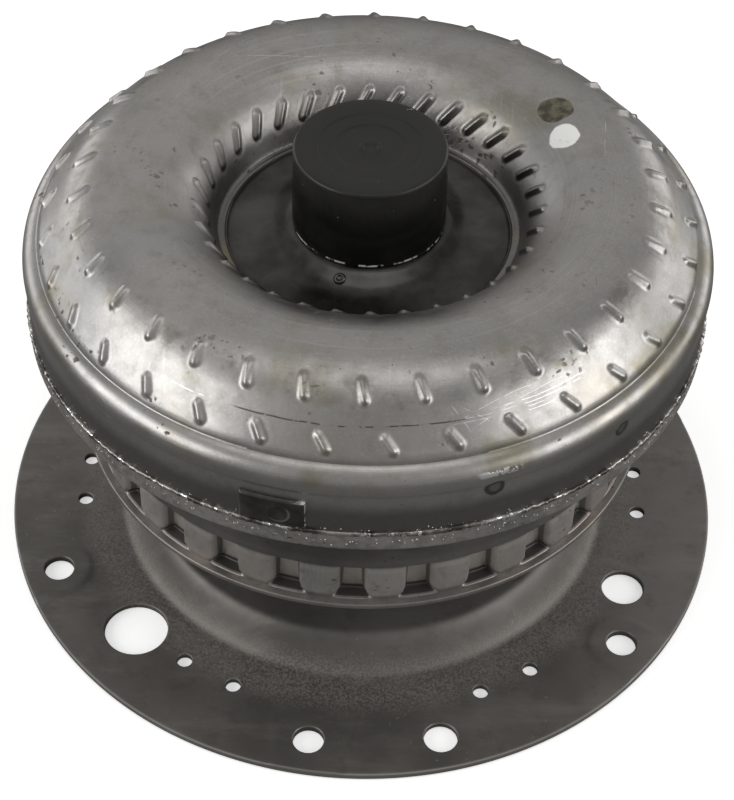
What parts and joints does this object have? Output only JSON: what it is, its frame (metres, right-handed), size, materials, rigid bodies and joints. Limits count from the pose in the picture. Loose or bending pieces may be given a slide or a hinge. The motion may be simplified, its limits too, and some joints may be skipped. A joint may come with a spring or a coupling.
{
  "type": "torque converter",
  "caption": "Hydrodynamic torque converter with castellated lock-up clutch drum, round drive plate and a plastic cap over the pump hub.",
  "frame": {"origin": "on the converter's axis, in the plane of the drive plate's flat underside", "axes": "+Z along the rotation axis from the drive plate to the pump hub; +X lies between two small holes of a pair, in the drive plate's plane"},
  "size_m": [0.32, 0.32, 0.2028],
  "materials": {
    "bare_steel": "bare pressed steel, worn satin with scratches and rust specks",
    "dark_plate": "dark phosphated steel plate",
    "pressed_steel": "bare pressed steel, dull",
    "oiled_steel": "dark oily steel",
    "machined_steel": "turned or ground bright steel",
    "weld_metal": "rippled weld bead",
    "black_oxide": "black oxide",
    "black_plastic": "moulded gloss black plastic",
    "spring_steel": "oil-tempered spring steel",
    "friction_paper": "brown paper friction lining",
    "cast_aluminium": "die-cast aluminium",
    "bronze_washer": "bronze",
    "seal_rubber": "black seal rubber"
  },
  "bodies": {
    "housing": {"flexplate": "dark_plate", "flexplate_bolts": "black_oxide", "drive_lugs": "pressed_steel", "pilot_boss": "machined_steel", "front_cover": "pressed_steel", "clutch_drum": "pressed_steel", "weld_seam": "weld_metal", "impeller_shell": "bare_steel", "impeller_blades": "pressed_steel", "impeller_core_ring": "pressed_steel", "impeller_hub": "oiled_steel", "hub_weld": "weld_metal", "balance_weight": "dark_plate", "piston_hub": "machined_steel", "backing_plate": "machined_steel", "snap_ring": "spring_steel", "bearing_c_race": "machined_steel"},
    "cap": {"protective_cap": "black_plastic"},
    "piston": {"lockup_piston": "pressed_steel", "piston_outer_seal": "seal_rubber", "piston_inner_seal": "seal_rubber"},
    "friction_disc_a": {"friction_disc_1": "machined_steel", "friction_linings_1": "friction_paper"},
    "steel_plate_a": {"steel_plate_1": "machined_steel"},
    "friction_disc_b": {"friction_disc_2": "machined_steel", "friction_linings_2": "friction_paper"},
    "steel_plate_b": {"steel_plate_2": "machined_steel"},
    "friction_disc_c": {"friction_disc_3": "machined_steel", "friction_linings_3": "friction_paper"},
    "damper": {"clutch_hub": "pressed_steel", "damper_plate_lower": "pressed_steel", "damper_plate_upper": "pressed_steel", "damper_rivets": "machined_steel", "damper_springs": "spring_steel"},
    "turbine": {"damper_flange": "machined_steel", "turbine_hub": "machined_steel", "turbine_shell": "pressed_steel", "turbine_blades": "pressed_steel", "turbine_core_ring": "pressed_steel", "turbine_rivets": "machined_steel", "bearing_b_race": "machined_steel"},
    "inner_race": {"one_way_inner_race": "machined_steel"},
    "stator": {"one_way_outer_race": "machined_steel", "one_way_springs": "spring_steel", "one_way_washers": "bronze_washer", "stator_wheel": "cast_aluminium", "bearing_a_race": "machined_steel"},
    "rollers": {"one_way_rollers": "machined_steel"},
    "bearing_a": {"bearing_a_cage": "bronze_washer", "bearing_a_needles": "machined_steel"},
    "bearing_b": {"bearing_b_cage": "bronze_washer", "bearing_b_needles": "machined_steel"},
    "bearing_c": {"bearing_c_cage": "bronze_washer", "bearing_c_needles": "machined_steel"}
  },
  "joints": [
    {"name": "cap_lift", "type": "slide", "parent": "housing", "child": "cap", "axis": [0, 0, 1], "range_m": [0, 0.06]},
    {"name": "turbine_spin", "type": "hinge", "parent": "housing", "child": "turbine", "pos_m": [0, 0, 0], "axis": [0, 0, 1], "continuous": true},
    {"name": "damper_twist", "type": "hinge", "parent": "turbine", "child": "damper", "pos_m": [0, 0, 0], "axis": [0, 0, 1], "range_deg": [-8, 8], "stiffness_Nm_per_rad": 600, "deforming": ["damper_springs"]},
    {"name": "piston_slide", "type": "slide", "parent": "housing", "child": "piston", "axis": [0, 0, 1], "range_m": [0, 0.0014]},
    {"name": "friction_disc_a_slide", "type": "slide", "parent": "damper", "child": "friction_disc_a", "axis": [0, 0, 1], "range_m": [0, 0.0012]},
    {"name": "steel_plate_a_slide", "type": "slide", "parent": "housing", "child": "steel_plate_a", "axis": [0, 0, 1], "range_m": [0, 0.00095]},
    {"name": "friction_disc_b_slide", "type": "slide", "parent": "damper", "child": "friction_disc_b", "axis": [0, 0, 1], "range_m": [0, 0.00072]},
    {"name": "steel_plate_b_slide", "type": "slide", "parent": "housing", "child": "steel_plate_b", "axis": [0, 0, 1], "range_m": [0, 0.00048]},
    {"name": "friction_disc_c_slide", "type": "slide", "parent": "damper", "child": "friction_disc_c", "axis": [0, 0, 1], "range_m": [0, 0.00024]},
    {"name": "inner_race_spin", "type": "hinge", "parent": "housing", "child": "inner_race", "pos_m": [0, 0, 0], "axis": [0, 0, 1], "continuous": true},
    {"name": "stator_freewheel", "type": "hinge", "parent": "inner_race", "child": "stator", "pos_m": [0, 0, 0], "axis": [0, 0, 1], "continuous": true},
    {"name": "roller_wedge", "type": "hinge", "parent": "stator", "child": "rollers", "pos_m": [0, 0, 0], "axis": [0, 0, 1], "range_deg": [0, 4]},
    {"name": "bearing_a_roll", "type": "hinge", "parent": "housing", "child": "bearing_a", "pos_m": [0, 0, 0], "axis": [0, 0, 1], "continuous": true},
    {"name": "bearing_b_roll", "type": "hinge", "parent": "housing", "child": "bearing_b", "pos_m": [0, 0, 0], "axis": [0, 0, 1], "continuous": true},
    {"name": "bearing_c_roll", "type": "hinge", "parent": "housing", "child": "bearing_c", "pos_m": [0, 0, 0], "axis": [0, 0, 1], "continuous": true}
  ],
  "couplings": [
    {"joint": "friction_disc_a_slide", "follows": "piston_slide", "ratio": 0.8333},
    {"joint": "steel_plate_a_slide", "follows": "piston_slide", "ratio": 0.6667},
    {"joint": "friction_disc_b_slide", "follows": "piston_slide", "ratio": 0.5},
    {"joint": "steel_plate_b_slide", "follows": "piston_slide", "ratio": 0.3333},
    {"joint": "friction_disc_c_slide", "follows": "piston_slide", "ratio": 0.1667},
    {"joint": "bearing_a_roll", "follows": "inner_race_spin", "ratio": 0.5},
    {"joint": "bearing_b_roll", "follows": "turbine_spin", "ratio": 0.5},
    {"joint": "bearing_c_roll", "follows": "turbine_spin", "ratio": 0.5}
  ]
}
